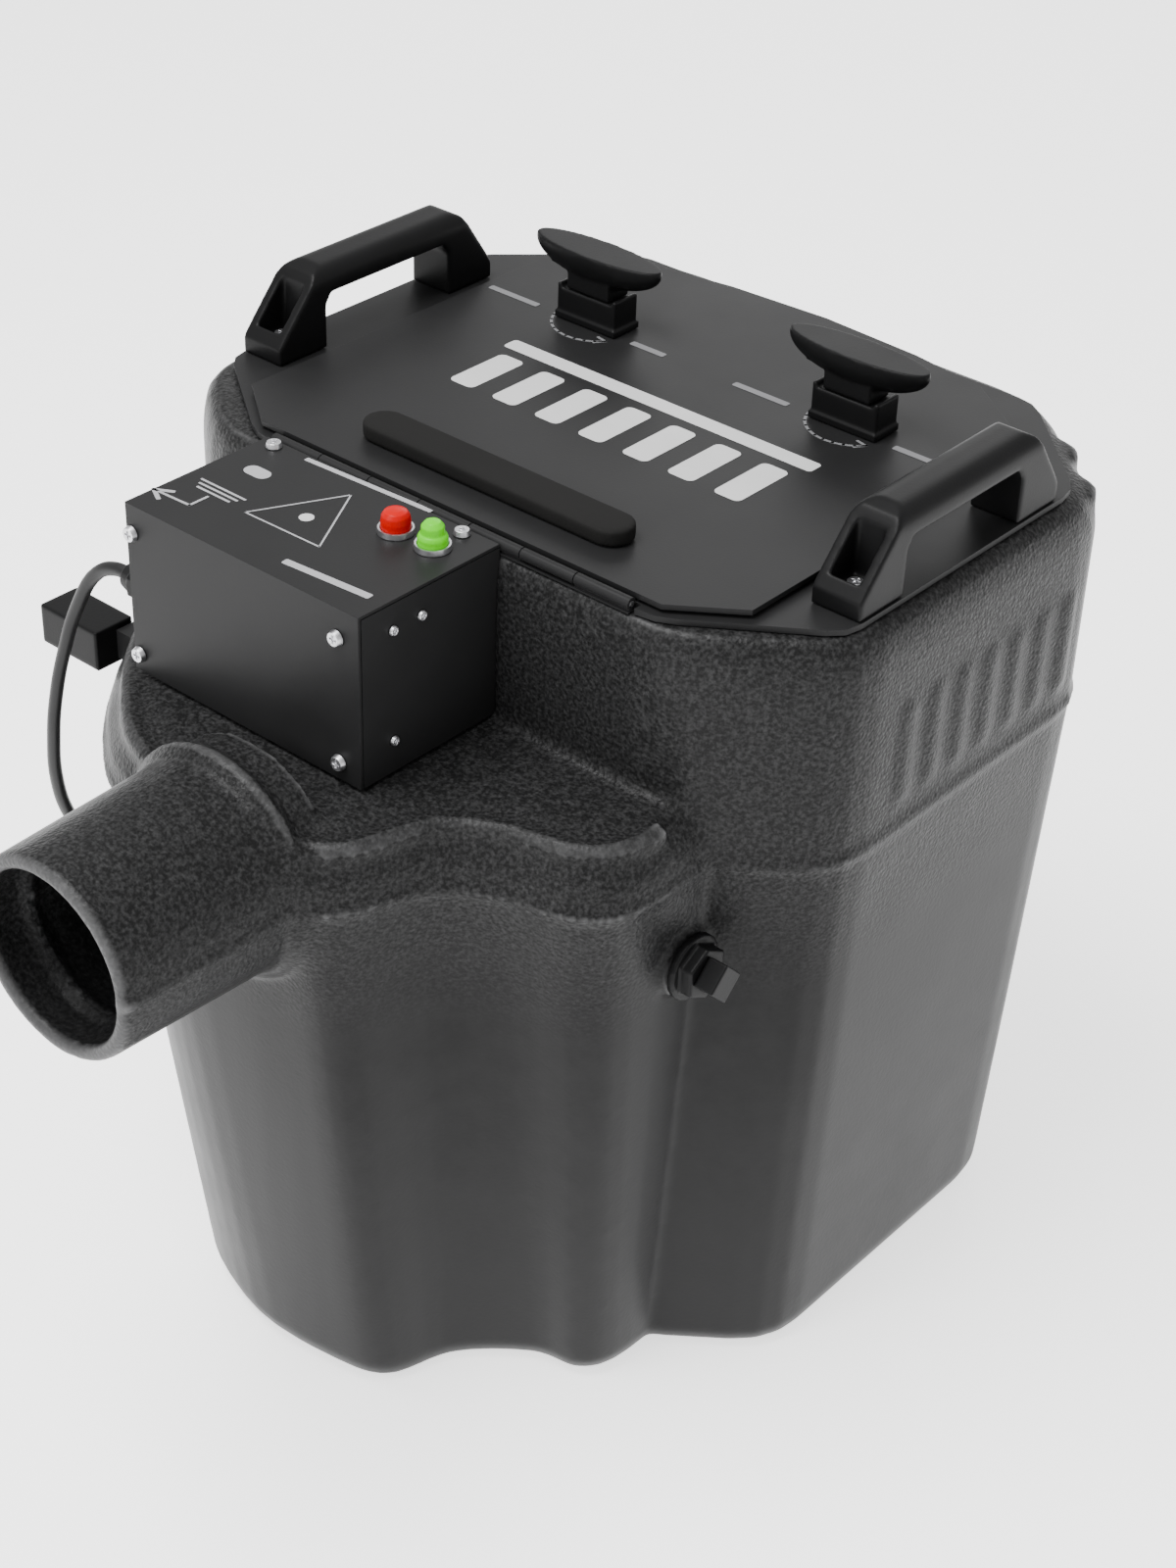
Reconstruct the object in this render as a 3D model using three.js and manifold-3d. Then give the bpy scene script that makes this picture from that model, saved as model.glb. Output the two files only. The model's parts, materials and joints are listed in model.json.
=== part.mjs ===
// Dry-ice fog machine: a roto-moulded tub with a water tank, a hinged lid with two
// quarter-turn latches, a control box on the front shoulder and a round duct nozzle.
// Millimetres, +Z up. The origin is on the floor under the middle of the tank, and the
// nozzle points along -Y.
import * as THREE from "three";
import { mergeVertices } from "three/addons/utils/BufferGeometryUtils.js";
import Module from "manifold-3d";

const wasm = await Module();
wasm.setup();

// ---- driving dimensions ------------------------------------------------------------
const LID_TOP = 461;
const LID_T = 2.8;
const RIM_TOP = 456.5;
const RIM_T = 3;
const TUB_TOP = 453;
const PARTING_Z = 336;
const GAP = 0.35;

const TANK_W = 203;
const TANK_FRONT = -150;
const TANK_REAR = 175;
const WALL = 7;

const NOZZLE_X = -5;
const NOZZLE_R = 50;
const NOZZLE_BORE = 43;
const NOZZLE_FRONT = -386;
const PLENUM_TOP = 368;

const BOX = { x0: -113, x1: 37, y0: -237, y1: -147, z0: 370, z1: 459.5 };
const SHEET = 1.6;

const HINGE_Y = -143.5;
const HINGE_Z = 457.5;
const HINGE_R = 3;
const PIN_R = 1.4;

const HANDLE_X = 180;
const HANDLE_W = 27;
const HANDLE_Y0 = -87;
const HANDLE_L = 156;
const HANDLE_H = 43;

const LATCH_X = 82.5;
const LATCH_Y = 58;
const BLADE_TOP = 501;

const COLLAR_TOP = 478;
const NECK_TOP = BLADE_TOP - 9;
const SHAFT_R = 7;
const LATCH_BORE_R = SHAFT_R + 0.4;

const BUTTONS = [
  { name: "red", x: -4, y: -171.5, color: 0xd40000 },
  { name: "green", x: 18, y: -170.5, color: 0x52d916 },
];
const FRONT_SCREWS = [[-109, 444.5], [24, 444.5], [-109, 379.5], [24, 379.5]];
const TOP_SCREWS = [[-103, -152.5], [19, -152.5]];
const SIDE_SCREWS = [[-216, 444.5], [-198, 444.5], [-216, 387]];
const GLAND = { y: -224, z: 409, tip: -129 };

const HEATER_XS = [-52, -24];
const HEATER_Y = -188;
const PROBE = [6, -196];
const LEVEL_ROD = [-76, -184];

const CORD_D = 7;
const COIL_MEAN_R = 36.6;
const COIL_CENTRE = [-133, 238];

const DRAIN = { x: 159, y: -148, z: 286 };

// ---- finishes ------------------------------------------------------------------------
function finish(color, roughness, metalness = 0) {
  return new THREE.MeshStandardMaterial({ color, roughness, metalness });
}
const plasticTub = () => finish(0x2e2e2f, 0.62);
const blackPaint = () => finish(0x1f1f20, 0.5, 0.2);
const blackNylon = () => finish(0x161617, 0.42);
const rubber = () => finish(0x2a2927, 0.85);
const zincSteel = () => finish(0xb9babc, 0.32, 1);
const stainless = () => finish(0x8f9194, 0.35, 1);

// ---- solids --------------------------------------------------------------------------
function toSolid(geometry) {
  const g = geometry.index ? geometry.toNonIndexed() : geometry.clone();
  g.deleteAttribute("normal");
  g.deleteAttribute("uv");
  const merged = mergeVertices(g, 1e-4);
  return new wasm.Manifold(new wasm.Mesh({
    numProp: 3,
    vertProperties: new Float32Array(merged.attributes.position.array),
    triVerts: new Uint32Array(merged.index.array),
  }));
}

function toGeometry(solid) {
  const m = solid.getMesh();
  const g = new THREE.BufferGeometry();
  g.setAttribute("position", new THREE.BufferAttribute(new Float32Array(m.vertProperties), 3));
  g.setIndex(new THREE.BufferAttribute(new Uint32Array(m.triVerts), 1));
  g.computeVertexNormals();
  return g;
}

function cut(base, ...tools) {
  let s = toSolid(base);
  for (const t of tools) s = s.subtract(toSolid(t));
  return toGeometry(s);
}

function join(base, ...others) {
  let s = toSolid(base);
  for (const t of others) s = s.add(toSolid(t));
  return toGeometry(s);
}

function block(x0, x1, y0, y1, z0, z1) {
  const g = new THREE.BoxGeometry(x1 - x0, y1 - y0, z1 - z0);
  g.translate((x0 + x1) / 2, (y0 + y1) / 2, (z0 + z1) / 2);
  return g;
}

// A round bar from one end to the other along an axis.
function bar(axis, r, from, to, a = 0, b = 0, sides = 24, r2 = r) {
  const g = new THREE.CylinderGeometry(r2, r, to - from, sides);
  g.translate(0, (from + to) / 2, 0);
  if (axis === "x") g.rotateZ(-Math.PI / 2).translate(0, a, b);
  if (axis === "y") g.translate(a, 0, b);
  if (axis === "z") g.rotateX(Math.PI / 2).translate(a, b, 0);
  return g;
}

// An outline in plan, raised between two heights.
function slab(points, z0, z1, holes = []) {
  const shape = new THREE.Shape(points.map(([x, y]) => new THREE.Vector2(x, y)));
  for (const h of holes) shape.holes.push(new THREE.Path(h.map(([x, y]) => new THREE.Vector2(x, y))));
  const g = new THREE.ExtrudeGeometry(shape, { depth: z1 - z0, bevelEnabled: false });
  return g.translate(0, 0, z0);
}

// A profile in the Y-Z plane, extruded along X between two sides.
function profileAlongX(points, x0, x1) {
  const shape = new THREE.Shape(points.map(([y, z]) => new THREE.Vector2(y, z)));
  const g = new THREE.ExtrudeGeometry(shape, { depth: x1 - x0, bevelEnabled: false });
  g.rotateX(Math.PI / 2).rotateZ(Math.PI / 2);
  return g.translate(x0, 0, 0);
}

// A closed solid through rings of equal count, each counter-clockwise from above.
function loft(rings) {
  const n = rings[0].length;
  const position = [];
  for (const ring of rings) for (const [x, y, z] of ring) position.push(x, y, z);
  const index = [];
  for (let k = 0; k + 1 < rings.length; k++) {
    for (let j = 0; j < n; j++) {
      const a = k * n + j;
      const b = k * n + ((j + 1) % n);
      index.push(a, b, b + n, a, b + n, a + n);
    }
  }
  const flat = (ring) => ring.map(([x, y]) => new THREE.Vector2(x, y));
  for (const [i, j, k] of THREE.ShapeUtils.triangulateShape(flat(rings[0]), [])) index.push(k, j, i);
  const top = (rings.length - 1) * n;
  for (const [i, j, k] of THREE.ShapeUtils.triangulateShape(flat(rings.at(-1)), [])) {
    index.push(top + i, top + j, top + k);
  }
  const g = new THREE.BufferGeometry();
  g.setAttribute("position", new THREE.Float32BufferAttribute(position, 3));
  g.setIndex(index);
  g.computeVertexNormals();
  return g;
}

// ---- plan outlines -------------------------------------------------------------------
// A rectangle with its corners cut off. Each cut has its length along X and along Y, in the
// order right front, right rear, left rear, left front.
function octagon(w, front, rear, cuts) {
  const [[rfx, rfy], [rrx, rry], [lrx, lry], [lfx, lfy]] = cuts;
  return [
    [w - rfx, front], [w, front + rfy], [w, rear - rry], [w - rrx, rear],
    [-w + lrx, rear], [-w, rear - lry], [-w, front + lfy], [-w + lfx, front],
  ];
}

// The same outline with each corner rounded by a short curve.
function rounded(points, radius, steps = 3) {
  const out = [];
  points.forEach((p, i) => {
    const before = points[(i + points.length - 1) % points.length];
    const after = points[(i + 1) % points.length];
    const toward = (q) => {
      const d = Math.hypot(q[0] - p[0], q[1] - p[1]);
      const k = Math.min(radius, d * 0.45) / d;
      return new THREE.Vector2(p[0] + (q[0] - p[0]) * k, p[1] + (q[1] - p[1]) * k);
    };
    const bend = new THREE.QuadraticBezierCurve(toward(before), new THREE.Vector2(...p), toward(after));
    for (const v of bend.getPoints(steps)) out.push([v.x, v.y]);
  });
  return out;
}

function atHeight(outline, z) {
  return outline.map(([x, y]) => [x, y, z]);
}

const FRONT_CUTS = { right: [62, 49], left: [50, 40] };
const REAR_CUT = { top: [80, 72], floor: [60, 50] };

// The tank's outline at a height: it narrows from the parting line to the floor, and its
// shoulder turns in to the rim. inset moves the whole outline inwards.
function tankOutline(z, inset = 0) {
  const down = Math.max(0, (PARTING_Z - z) / PARTING_Z);
  const over = Math.max(0, (z - 428) / (TUB_TOP - 428));
  const turn = 10 * (1 - Math.sqrt(Math.max(0, 1 - over * over)));
  const w = TANK_W - 22 * down - turn * 0.7 - inset;
  const front = TANK_FRONT + 18 * down + turn * 0.4 + inset;
  const rear = TANK_REAR - 12 * down - turn * 2.5 - inset;
  const rearCut = REAR_CUT.top.map((top, i) => top + (REAR_CUT.floor[i] - top) * down);
  return rounded(octagon(w, front, rear, [FRONT_CUTS.right, rearCut, rearCut, FRONT_CUTS.left]), 22);
}

// The plenum's outline, right half and left half, from its flank to the nozzle boss: a lobe
// at the corner, a flute, and the front. The floor outline is the same shape, drawn in. The
// left half has a plain cut corner in place of the flute. X is measured from the nozzle's axis.
const PLENUM_RIGHT = {
  parting: [[163, -100], [162, -182], [147, -208], [112, -219], [84, -238], [66, -280], [34, -289]],
  floor: [[134, -96], [133, -146], [122, -166], [98, -173], [66, -202], [52, -236], [24, -247]],
};
const PLENUM_LEFT = {
  parting: [[163, -100], [163, -180], [151, -211], [134, -234], [110, -258], [80, -279], [40, -290]],
  floor: [[134, -96], [133, -146], [122, -172], [108, -192], [94, -216], [76, -236], [28, -251]],
};

function plenumOutline(z, inset = 0) {
  const down = Math.max(0, (PARTING_Z - z) / PARTING_Z);
  const up = Math.max(0, (z - PARTING_Z) / (PLENUM_TOP - PARTING_Z));
  const turn = 22 * (1 - Math.sqrt(Math.max(0, 1 - up * up)));
  const shrink = inset + turn;
  const half = ({ parting, floor }, side) => parting.map(([x, y], i) => {
    const px = x + (floor[i][0] - x) * down;
    const py = y + (floor[i][1] - y) * down;
    const inward = shrink * Math.min(1, px / 110);
    return new THREE.Vector3(side * (px - inward), py + shrink * (i ? 1 : 0), 0);
  });
  const points = [...half(PLENUM_LEFT, -1), ...half(PLENUM_RIGHT, 1).reverse()];
  const curve = new THREE.CatmullRomCurve3(points, false, "catmullrom", 0.5);
  return curve.getPoints(48).map((v) => [v.x + NOZZLE_X, v.y]);
}

// ---- the tub -------------------------------------------------------------------------
const TANK_LEVELS = [[0, 7], [4, 2.5], [12, 0.3], [120, 0], [230, 0], [PARTING_Z, 0],
  [428, 0], [437, 0], [444, 0], [449, 0], [TUB_TOP, 0]];
const PLENUM_LEVELS = [[0, 7], [4, 2.5], [12, 0.3], [120, 0], [230, 0], [PARTING_Z, 0],
  [348, 0], [357, 0], [363, 0], [366.5, 0], [PLENUM_TOP, 2]];
const OPENING = { w: 142, front: -112, rear: 128, leg: 50 };

function openingOutline(grow = 0) {
  const { w, front, rear, leg } = OPENING;
  const [frontCut, rearCut] = [[leg, leg * 0.7], [leg, leg]];
  return rounded(octagon(w + grow, front - grow, rear + grow, [frontCut, rearCut, rearCut, frontCut]), 22);
}

function plenumSolid(grow = 0) {
  return loft(PLENUM_LEVELS.map(([z, inset]) =>
    atHeight(plenumOutline(z, inset - grow), z === PLENUM_TOP ? z + grow : z)));
}

function tankCavity() {
  const levels = [[8, 17], [16, 9], [120, WALL], [PARTING_Z, WALL], [432, WALL], [441, WALL + 3]];
  const rings = levels.map(([z, inset]) => atHeight(tankOutline(z, inset), z));
  rings.push(atHeight(openingOutline(), 442.5), atHeight(openingOutline(), TUB_TOP + 5));
  return loft(rings);
}

function plenumCavity() {
  const levels = [[8, 17], [16, 9], [120, WALL], [PARTING_Z, WALL], [350, WALL + 1], [361, WALL + 6]];
  return loft(levels.map(([z, inset]) => atHeight(plenumOutline(z, inset), z)));
}

const HANDLE_SCREW_YS = [HANDLE_Y0 + 14, HANDLE_Y0 + HANDLE_L - 14];

function tubShell() {
  let s = toSolid(loft(TANK_LEVELS.map(([z, inset]) => atHeight(tankOutline(z, inset), z))));
  const add = [
    plenumSolid(),
    bar("y", NOZZLE_R, NOZZLE_FRONT + 3, -262, NOZZLE_X, PARTING_Z, 32, NOZZLE_R + 4),
    bar("y", NOZZLE_R - 2.5, NOZZLE_FRONT, NOZZLE_FRONT + 3, NOZZLE_X, PARTING_Z, 32, NOZZLE_R),
    bar("x", 19, 132, DRAIN.x, DRAIN.y, DRAIN.z, 24, 17),
  ];
  for (const g of add) s = s.add(toSolid(g));
  const remove = [
    tankCavity(),
    plenumCavity(),
    bar("y", NOZZLE_BORE + 1.6, NOZZLE_FRONT - 1, NOZZLE_FRONT + 24, NOZZLE_X, PARTING_Z, 32),
    bar("y", NOZZLE_BORE - 2.5, NOZZLE_FRONT + 20, NOZZLE_FRONT + 30, NOZZLE_X, PARTING_Z, 32),
    bar("y", NOZZLE_BORE, NOZZLE_FRONT + 28, -262, NOZZLE_X, PARTING_Z, 32),
    bar("x", 9, 125, DRAIN.x + 2, DRAIN.y, DRAIN.z, 20),
    block(BOX.x0 - 1, BOX.x1 + 1, -160, BOX.y1 + 0.5, PLENUM_TOP, TUB_TOP + 3),
    bar("z", 3.6, 350, 375, ...PROBE, 16),
    bar("z", 3.6, 350, 375, ...LEVEL_ROD, 16),
  ];
  for (const x of HEATER_XS) remove.push(bar("z", 5.6, 350, 375, x, HEATER_Y, 16));
  for (const x of [-HANDLE_X, HANDLE_X]) {
    for (const y of HANDLE_SCREW_YS) remove.push(bar("z", 2.5, 446, 460, x, y, 12));
  }
  for (const g of remove) s = s.subtract(toSolid(g));
  return toGeometry(s);
}

// ---- rim, gasket, hinge and lid ------------------------------------------------------
const HINGE_HALF = 112;
const KNUCKLES = 7;

function rimPlate() {
  const [frontCut, rearCut] = [[69, 49], [64, 64]];
  const outer = rounded(octagon(194, -144.5, 148, [frontCut, rearCut, rearCut, frontCut]), 10, 2);
  const plate = slab(outer, RIM_TOP - RIM_T, RIM_TOP, [openingOutline(2)]);
  const holes = [block(-HINGE_HALF - 2, HINGE_HALF + 2, -150, -139.6, 440, 470)];
  for (const x of [-HANDLE_X, HANDLE_X]) {
    for (const y of HANDLE_SCREW_YS) holes.push(bar("z", 2.5, 440, 470, x, y, 12));
  }
  return cut(plate, ...holes);
}

function lidOutline(inset = 0) {
  const rear = [[105, 136], [60, 143.5], [0, 147], [-60, 143.5], [-105, 136]];
  const points = [[-125, -139.5], [125, -139.5], [157, -116], [157, 98], ...rear, [-157, 98], [-157, -116]];
  return points.map(([x, y]) => [x - Math.sign(x) * inset, y > 0 ? y - inset : y + inset]);
}

function knuckleSpan(i) {
  const pitch = (2 * HINGE_HALF) / KNUCKLES;
  return [-HINGE_HALF + i * pitch + 0.3, -HINGE_HALF + (i + 1) * pitch - 0.3];
}

function hingeLeaf(first, strip, web) {
  const pieces = [];
  for (let i = first; i < KNUCKLES; i += 2) {
    const [a, b] = knuckleSpan(i);
    pieces.push(bar("x", HINGE_R, a, b, HINGE_Y, HINGE_Z, 14));
    pieces.push(web(a, b));
  }
  const bore = bar("x", PIN_R + 0.3, -HINGE_HALF - 1, HINGE_HALF + 1, HINGE_Y, HINGE_Z, 10);
  return cut(join(strip, ...pieces), bore);
}

function hingeFixedLeaf() {
  const strip = block(-HINGE_HALF, HINGE_HALF, -146.2, -140, TUB_TOP + GAP, HINGE_Z - HINGE_R - 0.3);
  return hingeLeaf(0, strip, (a, b) => block(a, b, -145.2, -141.8, TUB_TOP + GAP, HINGE_Z - 1));
}

function hingeLidLeaf() {
  const z0 = RIM_TOP + 0.4;
  const z1 = LID_TOP - LID_T - GAP;
  const strip = block(-HINGE_HALF, HINGE_HALF, -138.5, -122, z0, z1);
  return hingeLeaf(1, strip, (a, b) => block(a, b, HINGE_Y, -138, z0, z1));
}

function lidPlate() {
  const holes = [-LATCH_X, LATCH_X].map((x) => circleOutline(x, LATCH_Y, LATCH_BORE_R, 20));
  return slab(lidOutline(), LID_TOP - LID_T, LID_TOP, holes);
}

function circleOutline(x, y, r, n) {
  return Array.from({ length: n }, (_, i) => {
    const a = (2 * Math.PI * i) / n;
    return [x + r * Math.cos(a), y + r * Math.sin(a)];
  });
}

function stadium(x, y, length, width, steps = 10) {
  const r = width / 2;
  const out = [];
  for (const side of [1, -1]) {
    for (let i = 0; i <= steps; i++) {
      const a = (-side * Math.PI) / 2 + (Math.PI * i) / steps;
      out.push([x + side * (length / 2 - r) + r * Math.cos(a), y + r * Math.sin(a)]);
    }
  }
  return out;
}

// ---- carrying handle -----------------------------------------------------------------
// A bridge handle with sloped ends; a pocket in each end holds its screw.
function handle() {
  const L = HANDLE_L;
  const H = HANDLE_H;
  const grip = H - 14;
  const below = [[33, 0], [33, grip - 6], [37, grip], [L - 37, grip], [L - 33, grip - 6], [L - 33, 0]];
  const rearEnd = [[L, 0], [L, 9], [L - 3, 14], [L - 21, H - 3], [L - 27, H]];
  const frontEnd = [[34, H], [27, H - 3], [4, 14], [0, 9], [0, 0]];
  const body = profileAlongX([...below, ...rearEnd, ...frontEnd], -HANDLE_W / 2, HANDLE_W / 2);
  const cuts = [];
  for (const y of [14, L - 14]) {
    cuts.push(block(-8, 8, y - 8.5, y + 9.5, 7, H + 5));
    cuts.push(bar("z", 2.5, -1, 10, 0, y, 12));
  }
  return cut(body, ...cuts);
}

function screw(headR, headH, shankR, shankL) {
  const head = bar("z", headR, 0, headH, 0, 0, 16, headR * 0.82);
  const shank = bar("z", shankR, -shankL, 0.5, 0, 0, 10);
  const slotA = block(-headR * 0.5, headR * 0.5, -0.5, 0.5, headH - 1, headH + 1);
  const slotB = block(-0.5, 0.5, -headR * 0.5, headR * 0.5, headH - 1, headH + 1);
  return cut(join(head, shank), slotA, slotB);
}

// ---- quarter-turn latches ------------------------------------------------------------
function latchCollar() {
  const base = block(-20.5, 20.5, -10, 10, LID_TOP + GAP, LID_TOP + 4);
  const body = block(-19.5, 19.5, -9, 9, LID_TOP + 3, COLLAR_TOP);
  const lugs = [-19.5, 17].map((x) => block(x, x + 2.5, -9, 9, COLLAR_TOP - 1, COLLAR_TOP + 2.5));
  return cut(join(base, body, ...lugs), bar("z", LATCH_BORE_R, LID_TOP - 5, COLLAR_TOP + 5, 0, 0, 20));
}

function latchHandle() {
  const nearEdge = [[-41, -6], [-24, -10], [0, -11.5], [24, -10], [41, -6]];
  const blade = [...nearEdge, ...nearEdge.map(([x, y]) => [-x, -y])];
  const top = slab(blade, BLADE_TOP - 7, BLADE_TOP);
  const keel = slab([[-26, -7], [26, -7], [26, 7], [-26, 7]], NECK_TOP - 3, BLADE_TOP - 6);
  const neck = block(-14, 14, -8.3, 8.3, COLLAR_TOP + GAP, NECK_TOP);
  const shaft = bar("z", SHAFT_R, 436, COLLAR_TOP + 2, 0, 0, 20);
  return join(top, keel, neck, shaft);
}

// The cam arm points along +Y in its own frame and is clamped round the shaft.
function latchCam() {
  const arm = block(-7, 7, 0, 66, 436, 440.5);
  const hub = bar("z", 12, 434, 443, 0, 0, 20);
  return cut(join(arm, hub), bar("z", SHAFT_R + 0.35, 430, 450, 0, 0, 20));
}

// ---- control box ---------------------------------------------------------------------
function controlCover() {
  const top = block(BOX.x0, BOX.x1, BOX.y0, BOX.y1, BOX.z1 - SHEET, BOX.z1);
  const front = block(BOX.x0, BOX.x1, BOX.y0, BOX.y0 + SHEET, BOX.z0, BOX.z1);
  const holes = BUTTONS.map((b) => bar("z", 8.4, 450, 470, b.x, b.y, 24));
  for (const [x, z] of FRONT_SCREWS) holes.push(bar("y", 2.1, -240, -230, x, z, 12));
  for (const [x, y] of TOP_SCREWS) holes.push(bar("z", 2.1, 450, 470, x, y, 12));
  return cut(join(top, front), ...holes);
}

function controlChassis() {
  const y0 = BOX.y0 + SHEET + GAP;
  const z1 = BOX.z1 - SHEET - GAP;
  const shell = block(BOX.x0, BOX.x1, y0, BOX.y1, BOX.z0, z1);
  const inside = block(BOX.x0 + SHEET, BOX.x1 - SHEET, y0 - 5, BOX.y1 - SHEET, BOX.z0 + SHEET, z1 + 5);
  const tabs = [];
  for (const [x, z] of FRONT_SCREWS) {
    const reach = x < 0 ? [BOX.x0 + 0.5, x + 5] : [x - 5, BOX.x1 - 0.5];
    tabs.push(block(...reach, y0, y0 + 3, z - 5, z + 5));
  }
  for (const [x] of TOP_SCREWS) tabs.push(block(x - 6, x + 6, BOX.y1 - 12, BOX.y1 - 0.5, z1 - 3, z1));
  const holes = [bar("x", 6.6, BOX.x0 - 2, BOX.x0 + 4, GLAND.y, GLAND.z, 16)];
  for (const [x, z] of FRONT_SCREWS) holes.push(bar("y", 2.1, -240, -225, x, z, 12));
  for (const [x, y] of TOP_SCREWS) holes.push(bar("z", 2.1, 450, 470, x, y, 12));
  for (const x of HEATER_XS) holes.push(bar("z", 6, 360, 375, x, HEATER_Y, 16));
  holes.push(bar("z", 3.6, 360, 375, ...PROBE, 16), bar("z", 3.6, 360, 375, ...LEVEL_ROD, 16));
  for (const [y, z] of SIDE_SCREWS) holes.push(bar("x", 1.6, BOX.x1 - 4, BOX.x1 + 1, y, z, 10));
  return cut(join(cut(shell, inside), ...tabs), ...holes);
}

function buttonBezel() {
  const flange = bar("z", 8.8, BOX.z1 + GAP, BOX.z1 + 3, 0, 0, 20, 8.5);
  const barrel = bar("z", 8, 441, BOX.z1 + 1, 0, 0, 20);
  return cut(join(flange, barrel), bar("z", 7.5, 430, 480, 0, 0, 20));
}

function buttonCap(dome) {
  const profile = [[0, 449], [7.1, 449], [7.1, 465.5]];
  if (dome) profile.push([6.4, 467], [5.6, 467.2], [5.4, 471], [3.6, 473.2], [0, 473.8]);
  else profile.push([6.6, 468.5], [5.4, 470.4], [3, 471.2], [0, 471.4]);
  return new THREE.LatheGeometry(profile.map(([r, z]) => new THREE.Vector2(r, z)), 28).rotateX(Math.PI / 2);
}

function cableGland() {
  const nut = bar("x", 9.5, -122, BOX.x0 - GAP, 0, 0, 6);
  const dome = bar("x", 6.4, GLAND.tip, -121.5, 0, 0, 20, 8.4);
  const thread = bar("x", 6.2, BOX.x0 - 1, BOX.x0 + 9, 0, 0, 16);
  return cut(join(nut, dome, thread), bar("x", CORD_D / 2 + GAP, -140, -90, 0, 0, 16));
}

// ---- inside the tank -----------------------------------------------------------------
function tube(curve, r, sides, steps) {
  const circle = new THREE.Shape(circleOutline(0, 0, r, sides).map(([x, y]) => new THREE.Vector2(x, y)));
  return new THREE.ExtrudeGeometry(circle, { steps, bevelEnabled: false, extrudePath: curve });
}

function path(points, tension = 0.5) {
  return new THREE.CatmullRomCurve3(points.map((p) => new THREE.Vector3(...p)), false, "catmullrom", tension);
}

function heatingElement() {
  const [a, b] = HEATER_XS;
  const y = HEATER_Y;
  const points = [[a, y, 384], [a, y, 300], [a, y, 120], [a, y, 62], [a - 6, y + 18, 48],
    [a - 22, y + 70, 46], [a - 24, 30, 46], [a - 16, 62, 46], [-38, 76, 46], [b + 16, 62, 46],
    [b + 24, 30, 46], [b + 22, y + 70, 46], [b + 6, y + 18, 48], [b, y, 62], [b, y, 120],
    [b, y, 300], [b, y, 384]];
  return tube(path(points), 4.8, 8, 46);
}

function heaterFlange() {
  const [a, b] = HEATER_XS;
  const plate = slab(stadium((a + b) / 2, HEATER_Y, 58, 30), PLENUM_TOP - 11.5, PLENUM_TOP - 7.6);
  return cut(plate, ...[a, b].map((x) => bar("z", 5.2, 340, 380, x, HEATER_Y, 16)));
}

// A perforated tray on four legs that holds the ice above the water.
function iceBasket() {
  const [w, d, z0, z1, t] = [105, 80, 190, 300, 2];
  const tray = cut(block(-w, w, -d, d, z0, z1), block(-w + t, w - t, -d + t, d - t, z0 + t, z1 + 5));
  const legs = [];
  for (const x of [-w + 8, w - 8]) {
    for (const y of [-d + 8, d - 8]) legs.push(bar("z", 5, 8.6, z0 + 1, x, y, 10));
  }
  const slots = [];
  for (const x of [-70, -35, 0, 35, 70]) slots.push(block(x - 5, x + 5, -d + 14, d - 14, z0 - 2, z0 + 5));
  for (const x of [-72, -36, 0, 36, 72]) slots.push(block(x - 6, x + 6, -d - 5, d + 5, z0 + 25, z1 - 25));
  return cut(join(tray, ...legs), ...slots);
}

// ---- cord, coil and plug ---------------------------------------------------------------
// Out of the gland, in a bow past the shoulder, behind the nozzle down to the floor, and back
// along the side to the coil.
const CORD_ROUTE = [
  [GLAND.tip - 0.3, -224, 409], [-138, -224, 408.5], [-151, -225, 402], [-165, -228, 379],
  [-175, -231, 350], [-182, -233, 322], [-187, -233, 296], [-193, -229, 264], [-197, -220, 236],
  [-200, -203, 206], [-201, -184, 176], [-201, -168, 146], [-200, -153, 112], [-199, -141, 78],
  [-198, -131, 46], [-198, -118, 18], [-200, -98, 5.2], [-204, -66, 3.7], [-210, -20, 3.7],
  [-214, 30, 3.7], [-216, 80, 3.7], [-211, 112, 3.7], [-200, 144, 3.7], [-187, 176, 3.7],
  [-179, 200, 3.7], [-176, 212, 3.7],
];

function cordCoil() {
  const [r0, r1, h] = [COIL_MEAN_R - CORD_D, COIL_MEAN_R + CORD_D, 2 * CORD_D];
  const ring = [[r0, 0.2], [r1, 0.2], [r1, h], [r0, h], [r0, 0.2]].map(([r, z]) => new THREE.Vector2(r, z));
  return new THREE.LatheGeometry(ring, 40).rotateX(Math.PI / 2);
}

function cordTie() {
  const r = COIL_MEAN_R;
  const outer = block(-4, 4, -r - 9.2, -r + 9.2, 0.05, 16.4);
  return cut(outer, block(-5, 5, -r - 7.6, -r + 7.6, -1, 14.9));
}

// The plug lies on the floor beyond the coil, in line with the outer turn as it leaves.
function mainsPlug() {
  const y = COIL_MEAN_R + CORD_D / 2;
  const z = 11;
  const relief = bar("x", 4.4, 26, 52, y, z, 16, 6.2);
  const body = bar("x", 10.5, 50, 84, y, z, 8);
  const face = block(82, 88, y - 13, y + 13, 0.4, 21.6);
  const pins = [y - 6.3, y + 6.3].map((at) => block(87, 104, at - 0.8, at + 0.8, z - 3, z + 3));
  return join(body, relief, face, ...pins);
}

// ---- assembly ------------------------------------------------------------------------
const model = new THREE.Group();

function piece(name, geometry, material, position = [0, 0, 0], rotation = [0, 0, 0]) {
  const mesh = new THREE.Mesh(geometry, material);
  mesh.name = name;
  mesh.position.set(...position);
  mesh.rotation.set(...rotation);
  model.add(mesh);
}

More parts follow.
